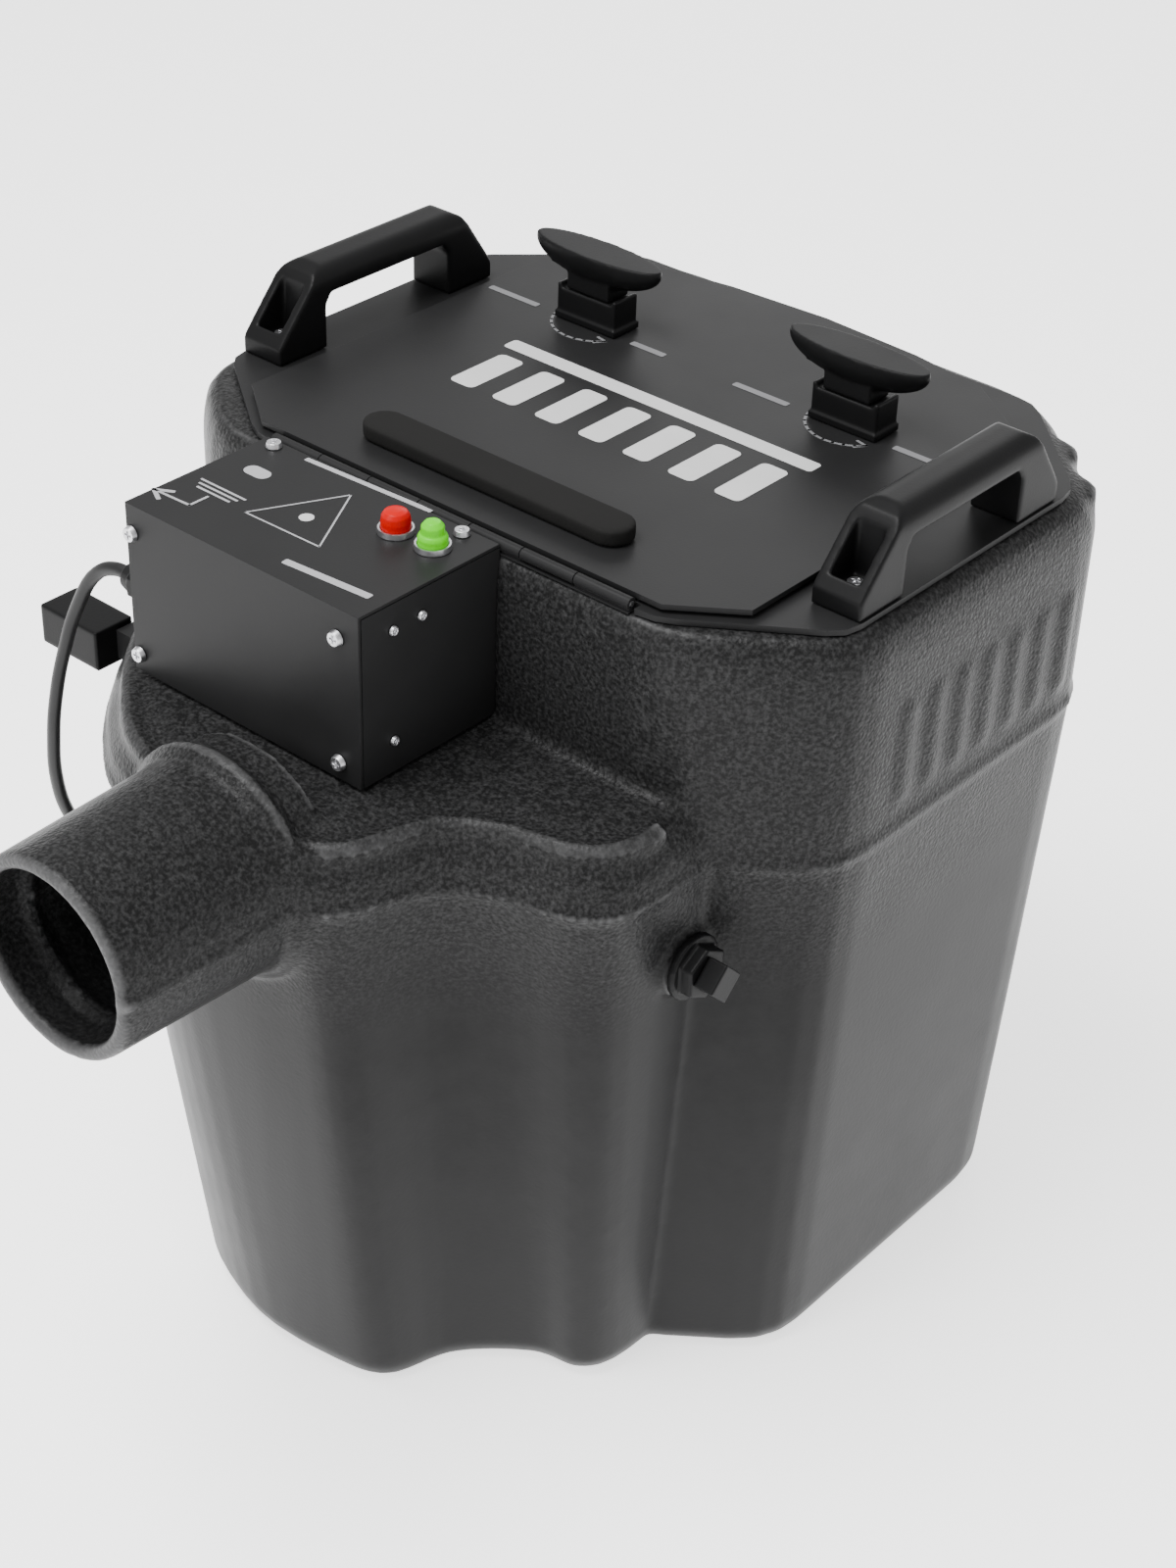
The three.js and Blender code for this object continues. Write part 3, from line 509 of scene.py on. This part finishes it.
def pressed(node, name, edge, finish=None):
    """Sheet metal or a turned part: the node's shape with a small round on every edge."""
    piece = copy_of(node, name)
    worked(piece, "BEVEL", width=edge * MM, segments=2, limit_method="ANGLE",
           angle_limit=math.radians(40))
    only(piece)
    bpy.ops.object.shade_smooth_by_angle(angle=math.radians(35))
    worked(piece, "WEIGHTED_NORMAL", mode="FACE_AREA", weight=100, keep_sharp=True)
    return stands_for(piece, node, finish=finish)


def rounded_block(name, low, high, radius, segments=3):
    """A block between two corners, its edges rounded."""
    bpy.ops.object.select_all(action="DESELECT")
    bpy.ops.mesh.primitive_cube_add(size=1, location=(Vector(low) + Vector(high)) / 2)
    piece = bpy.context.object
    piece.name = name
    piece.scale = Vector(high) - Vector(low)
    settled(piece)
    bpy.ops.object.mode_set(mode="EDIT")
    bpy.ops.mesh.select_all(action="SELECT")
    bpy.ops.mesh.bevel(offset=radius, segments=segments, affect="EDGES")
    bpy.ops.object.mode_set(mode="OBJECT")
    return piece


def joined(name, pieces):
    only(pieces[0])
    for piece in pieces:
        piece.select_set(True)
    bpy.ops.object.join()
    pieces[0].name = name
    return pieces[0]


# ---- mains cord ------------------------------------------------------------------------------
CORD_D = 0.007
COIL_MEAN_R = 0.0366
COIL_CENTRE = Vector((-0.133, 0.238, 0))
CORD_ROUTE = [
    (-0.118, -0.224, 0.409), (-0.1293, -0.224, 0.409), (-0.138, -0.224, 0.4085),
    (-0.151, -0.225, 0.402), (-0.165, -0.228, 0.379), (-0.175, -0.231, 0.350),
    (-0.182, -0.233, 0.322), (-0.187, -0.233, 0.296), (-0.193, -0.229, 0.264),
    (-0.197, -0.220, 0.236), (-0.200, -0.203, 0.206), (-0.201, -0.184, 0.176),
    (-0.201, -0.168, 0.146), (-0.200, -0.153, 0.112), (-0.199, -0.141, 0.078),
    (-0.198, -0.131, 0.046), (-0.198, -0.118, 0.018), (-0.200, -0.098, 0.0052),
    (-0.204, -0.066, 0.0037), (-0.210, -0.020, 0.0037), (-0.214, 0.030, 0.0037),
    (-0.216, 0.080, 0.0037), (-0.211, 0.112, 0.0037), (-0.200, 0.144, 0.0037),
    (-0.187, 0.176, 0.0037), (-0.179, 0.200, 0.0037), (-0.176, 0.212, 0.0037),
]


def coil_turns():
    """Clockwise from the left side: outer and inner turn on the floor, then the inner and the
    outer one on top of them, and a quarter more to where the cord leaves for the plug."""
    outer, inner = COIL_MEAN_R + CORD_D / 2, COIL_MEAN_R - CORD_D / 2
    radii = [outer, inner, inner, outer, outer]
    heights = [0.0037, 0.0037, 0.0107, 0.0107, 0.0107]
    steps = 15
    points = []
    for k in range(int(4.25 * steps) + 1):
        turn = k // steps
        share = max(0.0, (k % steps) / steps - 0.7) / 0.3
        ease = share * share * (3 - 2 * share)
        after = min(turn + 1, 4)
        radius = radii[turn] + (radii[after] - radii[turn]) * ease
        height = heights[turn] + (heights[after] - heights[turn]) * ease
        angle = math.pi - 2 * math.pi * k / steps
        points.append(COIL_CENTRE + Vector((radius * math.cos(angle), radius * math.sin(angle), height)))
    return points


def mains_cord():
    """The cord from the gland to the plug, with its tie and its plug."""
    plug_low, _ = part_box("mains_plug")
    leaving = COIL_CENTRE + Vector((0, COIL_MEAN_R + CORD_D / 2, 0.0108))
    tail = [leaving + Vector((x, 0, 0.0001)) for x in (0.012, plug_low.x - leaving.x + 0.004)]
    points = [Vector(p) for p in CORD_ROUTE] + coil_turns() + tail
    data = bpy.data.curves.new("mains_cord", "CURVE")
    data.dimensions = "3D"
    data.resolution_u = 5
    data.bevel_depth = CORD_D / 2
    data.bevel_resolution = 3
    data.use_fill_caps = True
    spline = data.splines.new("BEZIER")
    spline.bezier_points.add(len(points) - 1)
    for knot, point in zip(spline.bezier_points, points):
        knot.co = point
        knot.handle_left_type = knot.handle_right_type = "AUTO"
    cord = bpy.data.objects.new("mains_cord", data)
    bpy.context.scene.collection.objects.link(cord)
    stands_for(cord, "cord_tube", "cord_coil", finish=CORD_JACKET)
    tie = moulded("cord_tie", "coil_tie", 0.5, 3)
    plug = moulded("mains_plug", "plug_on_cord", 0.8, 4)


# ---- the moulded tub ---------------------------------------------------------------------------
BEAD_R = 2.2 * MM
RIDGE_R = 5.5 * MM
RIDGE_Z = 0.3625
LOBES = ((0.153, 0.129), (0.180, 0.103))
SIDE_X = 0.203
RIB_COUNT = 7
RIB_PITCH = 0.022
RIB_PROUD = 1.4 * MM
TUB_TRIANGLES = 190000


def parting_bead():
    """The thin bead where the two halves of the mould met, all round at one height."""
    bead = copy_of("tub_shell", "parting_bead")
    only(bead)
    bpy.ops.object.mode_set(mode="EDIT")
    bpy.ops.mesh.select_all(action="SELECT")
    bpy.ops.mesh.bisect(plane_co=(0, 0, PARTING_Z + 0.0002), plane_no=(0, 0, 1),
                        clear_inner=True, clear_outer=True)
    bpy.ops.object.mode_set(mode="OBJECT")
    bpy.ops.object.convert(target="CURVE")
    bead.data.bevel_depth = BEAD_R
    bead.data.bevel_resolution = 1
    bpy.ops.object.convert(target="MESH")
    return bpy.context.object


def nozzle_root():
    """The raised ring where the nozzle grows out of the plenum."""
    bpy.ops.object.select_all(action="DESELECT")
    bpy.ops.mesh.primitive_torus_add(major_radius=NOZZLE_R + 3.5 * MM, minor_radius=5 * MM,
                                     major_segments=64, minor_segments=16,
                                     location=(NOZZLE_X, -0.285, PARTING_Z),
                                     rotation=(math.pi / 2, 0, 0))
    return settled(bpy.context.object)


def nozzle_lip():
    """The rolled lip round the nozzle's mouth."""
    bpy.ops.object.select_all(action="DESELECT")
    bpy.ops.mesh.primitive_torus_add(major_radius=NOZZLE_R - 3.9 * MM, minor_radius=4.2 * MM,
                                     major_segments=64, minor_segments=16,
                                     location=(NOZZLE_X, -0.3818, PARTING_Z),
                                     rotation=(math.pi / 2, 0, 0))
    return settled(bpy.context.object)


def roof_ridge():
    """The raised edge round the front of the plenum's roof, over its lobes and flutes."""
    ridge = copy_of("tub_shell", "roof_ridge")
    only(ridge)
    cuts = [((0, 0, RIDGE_Z), (0, 0, 1), True, True), ((0, -0.160, 0), (0, 1, 0), False, True),
            ((0, -0.279, 0), (0, 1, 0), True, False)]
    bpy.ops.object.mode_set(mode="EDIT")
    for place, normal, inner, outer in cuts:
        bpy.ops.mesh.select_all(action="SELECT")
        bpy.ops.mesh.bisect(plane_co=place, plane_no=normal, clear_inner=inner, clear_outer=outer)
    bpy.ops.object.mode_set(mode="OBJECT")
    bpy.ops.object.convert(target="CURVE")
    ridge = bpy.context.object
    ridge.data.bevel_depth = RIDGE_R
    ridge.data.bevel_resolution = 2
    bpy.ops.object.convert(target="MESH")
    return bpy.context.object


def corner_lobes():
    """Two upright lobes on each cut rear corner of the band above the parting line."""
    lobes = []
    for side in (-1, 1):
        for x, y in LOBES:
            bpy.ops.object.select_all(action="DESELECT")
            bpy.ops.mesh.primitive_cylinder_add(vertices=32, radius=0.014, depth=0.13,
                                                location=(side * x, y, 0.382))
            lobe = bpy.context.object
            settled(lobe)
            bpy.ops.object.mode_set(mode="EDIT")
            bpy.ops.mesh.select_all(action="SELECT")
            bpy.ops.mesh.bevel(offset=8 * MM, segments=4, affect="EDGES", clamp_overlap=True)
            bpy.ops.object.mode_set(mode="OBJECT")
            lobes.append(lobe)
    return lobes


def side_ribs():
    """A row of plain upright ribs on each side wall, under the rim."""
    ribs = []
    for side in (-1, 1):
        across = sorted((side * (SIDE_X - 4 * MM), side * (SIDE_X + RIB_PROUD)))
        for i in range(RIB_COUNT):
            y = -0.058 + RIB_PITCH * i
            low, high = (across[0], y, 0.352), (across[1], y + 0.010, 0.404)
            ribs.append(rounded_block("side_rib", low, high, 1.2 * MM, 2))
    return ribs


def tub():
    """The shell and its raised details, worked into one fair skin."""
    body = copy_of("tub_shell", "moulded_tub")
    extras = [parting_bead(), roof_ridge(), nozzle_root(), nozzle_lip(), *corner_lobes(), *side_ribs()]
    body = joined("moulded_tub", [body, *extras])
    worked(body, "REMESH", mode="VOXEL", voxel_size=2.5 * MM)
    worked(body, "SMOOTH", factor=0.5, iterations=5)
    triangles = sum(len(face.vertices) - 2 for face in body.data.polygons)
    worked(body, "DECIMATE", decimate_type="COLLAPSE", ratio=min(1, TUB_TRIANGLES / triangles))
    only(body)
    bpy.ops.object.shade_smooth()
    stands_for(body, "tub_shell")


# ---- handles and latches -------------------------------------------------------------------------
def carry_handle(side):
    """A bridge handle with a rounded grip and finger waves along its underside."""
    node = f"handle_{side}"
    low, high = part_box(node)
    handle = copy_of(node, f"carry_handle_{side}")
    envelope = rounded_block("envelope", (low.x, low.y - 0.02, low.z - 0.02),
                             (high.x, high.y + 0.02, high.z), 9.5 * MM, 6)
    worked(handle, "BOOLEAN", operation="INTERSECT", object=envelope, solver="EXACT")
    bpy.data.objects.remove(envelope)
    waves = []
    middle = (low + high) / 2
    for k in range(4):
        bpy.ops.object.select_all(action="DESELECT")
        bpy.ops.mesh.primitive_cylinder_add(
            vertices=32, radius=7 * MM, depth=15 * MM, rotation=(0, math.pi / 2, 0),
            location=(middle.x, middle.y + (k - 1.5) * 20 * MM, high.z - 14 * MM + 5 * MM))
        waves.append(settled(bpy.context.object))
    handle = joined(f"carry_handle_{side}", [handle, *waves])
    worked(handle, "REMESH", mode="VOXEL", voxel_size=1.0 * MM)
    worked(handle, "SMOOTH", factor=0.5, iterations=8)
    only(handle)
    bpy.ops.object.shade_smooth()
    stands_for(handle, node)


def t_handle(side, x):
    """A quarter-turn handle: a boat-shaped blade, flat on top, over a square neck."""
    node = f"latch_handle_{side}"
    neck = copy_of(node, f"t_handle_{side}")
    only(neck)
    bpy.ops.object.mode_set(mode="EDIT")
    bpy.ops.mesh.select_all(action="SELECT")
    bpy.ops.mesh.bisect(plane_co=(0, 0, BLADE_TOP - 9.5 * MM), plane_no=(0, 0, 1), clear_outer=True,
                        use_fill=True)
    bpy.ops.object.mode_set(mode="OBJECT")
    bpy.ops.object.select_all(action="DESELECT")
    bpy.ops.mesh.primitive_uv_sphere_add(segments=64, ring_count=32, radius=1,
                                         location=(x, LATCH_Y, BLADE_TOP - 2.5 * MM))
    blade = bpy.context.object
    blade.scale = (41 * MM, 11.8 * MM, 15 * MM)
    settled(blade)
    bpy.ops.object.mode_set(mode="EDIT")
    bpy.ops.mesh.select_all(action="SELECT")
    bpy.ops.mesh.bisect(plane_co=(0, 0, BLADE_TOP - 0.1 * MM), plane_no=(0, 0, 1), clear_outer=True,
                        use_fill=True)
    bpy.ops.object.mode_set(mode="OBJECT")
    handle = joined(f"t_handle_{side}", [neck, blade])
    worked(handle, "REMESH", mode="VOXEL", voxel_size=0.8 * MM)
    worked(handle, "SMOOTH", factor=0.5, iterations=3)
    only(handle)
    bpy.ops.object.shade_smooth()
    stands_for(handle, node)


# ---- printed marks --------------------------------------------------------------------------------
INK = 0.15 * MM
PRINT_LIFT = 0.05 * MM
BAR_ROUNDING = 0.22
DISC_ROUNDING = 0.49
LID_BARS = 7


def print_bar(middle, size, turn, z, rounding=BAR_ROUNDING):
    """A flat printed bar: its middle, its two sizes, its turn and how round its corners are."""
    bpy.ops.object.select_all(action="DESELECT")
    bpy.ops.mesh.primitive_plane_add(size=1, location=(*middle, z))
    mark = bpy.context.object
    mark.scale = (*size, 1)
    mark.rotation_euler = (0, 0, turn)
    settled(mark)
    bpy.ops.object.mode_set(mode="EDIT")
    bpy.ops.mesh.select_all(action="SELECT")
    bpy.ops.mesh.bevel(offset=min(size) * rounding, segments=5, affect="VERTICES")
    bpy.ops.mesh.extrude_region_move(TRANSFORM_OT_translate={"value": (0, 0, INK)})
    bpy.ops.object.mode_set(mode="OBJECT")
    return mark


def print_line(start, end, width, z):
    start, end = Vector(start), Vector(end)
    run = end - start
    return print_bar((start + end) / 2, (run.length + width, width), math.atan2(run.y, run.x), z)


def print_arc(centre, radius, width, first, last, z):
    """A printed arc, as a run of short bars."""
    steps = 10
    angles = [first + (last - first) * k / steps for k in range(steps + 1)]
    points = [(centre[0] + radius * math.cos(a), centre[1] + radius * math.sin(a)) for a in angles]
    return [print_line(a, b, width, z) for a, b in zip(points, points[1:])]


def lid_print():
    """Upright bars under a long band, and an arc with plain bars beside each latch."""
    z = LID_TOP + PRINT_LIFT
    marks = []
    low_x, high_x, front_y, rear_y = -0.098, 0.098, -0.044, -0.004
    pitch = (high_x - low_x) / LID_BARS
    for i in range(LID_BARS):
        x = low_x + pitch * (i + 0.5)
        marks.append(print_bar((x, (front_y + rear_y) / 2), (pitch * 0.56, rear_y - front_y), 0, z))
    marks.append(print_bar((0, 0.008), (high_x - low_x, 0.010), 0, z))
    whole = joined("lid_print", marks)
    belongs(whole, "lid", LID_INK)
    faint = []
    for x in LATCHES:
        first, last = math.radians(188), math.radians(322)
        faint += print_arc((x, LATCH_Y), ARC_R, 0.0015, first, last, z)
        tip = Vector((x + ARC_R * math.cos(last), LATCH_Y + ARC_R * math.sin(last)))
        for turn in (-2.7, -1.5):
            barb = Vector((math.cos(last + turn), math.sin(last + turn))) * 0.006
            faint.append(print_line(tip, tip + barb, 0.0015, z))
        faint.append(print_bar((x - 0.052, LATCH_Y - 0.006), (0.034, 0.0042), 0, z))
        faint.append(print_bar((x + 0.040, LATCH_Y - 0.006), (0.022, 0.0042), 0, z))
    belongs(joined("latch_marks", faint), "lid", FAINT_INK)


def box_print():
    """On the top of the box: a triangle round a dot, an arrow, an oval and plain bars."""
    z = BOX_TOP + PRINT_LIFT
    marks = []
    corners = [(-0.066, -0.206), (-0.043, -0.161), (-0.019, -0.205)]
    for i in range(3):
        marks.append(print_line(corners[i], corners[(i + 1) % 3], 0.0009, z))
    arrow = [(-0.089, -0.208), (-0.089, -0.219), (-0.112, -0.220)]
    marks.append(print_line(arrow[0], arrow[1], 0.0014, z))
    marks.append(print_line(arrow[1], arrow[2], 0.0014, z))
    tip = Vector(arrow[2])
    for side in (-1, 1):
        marks.append(print_line(tip, tip + Vector((0.008, side * 0.0045)), 0.0022, z))
    for row in range(3):
        marks.append(print_bar((-0.089, -0.198 - 0.0032 * row), (0.030 - 0.004 * row, 0.0013), 0, z))
    marks.append(print_bar((-0.0445, -0.1485), (0.078, 0.0030), 0.05, z))
    marks.append(print_bar((0.0035, -0.2225), (0.050, 0.0042), 0.08, z))
    oval = print_bar((-0.090, -0.1755), (0.015, 0.0085), 0, z, DISC_ROUNDING)
    belongs(joined("box_print", [*marks, oval]), "root", BOX_INK)
    dot = print_bar((-0.0425, -0.190), (0.0072, 0.0072), 0, z, DISC_ROUNDING)
    belongs(joined("box_dot", [dot]), "root", LID_INK)


# ---- making it all -----------------------------------------------------------------------------------
camera()
mains_cord()
studio()
tub()

for side, x in zip(("left", "right"), LATCHES):
    carry_handle(side)
    t_handle(side, x)
    moulded(f"latch_collar_{side}", f"t_handle_collar_{side}", 0.8, 2)
moulded("bumper_pad", "rubber_bumper", 1.2, 8)
moulded("accessory_connector", "side_connector", 0.9, 4)
moulded("cable_gland", "cord_gland", 0.5, 2)
moulded("drain_bush", "drain_fitting", 0.7, 2)
moulded("drain_plug", "drain_stopper", 0.6, 2)
for colour in ("red", "green"):
    moulded(f"{colour}_button", f"{colour}_push_cap", 0.4, 3)

for node in ("lid_plate", "control_cover", "control_chassis", "rim_plate"):
    pressed(node, f"{node}_pressed", 0.6)
for node in ("red_bezel", "green_bezel"):
    pressed(node, f"{node}_turned", 0.3)
for node in ("hinge_fixed_leaf", "hinge_lid_leaf", "connector_bracket"):
    pressed(node, f"{node}_coated", 0.3, finish=FINISH["black_paint"])
for node in sorted(NODES):
    if "screw" in node:
        pressed(node, f"{node}_head", 0.25)

lid_print()
box_print()

for node, piece in NODES.items():
    if not piece.hide_render:
        for held in piece.material_slots:
            held.material = FINISH[SLOT_OF[node]]
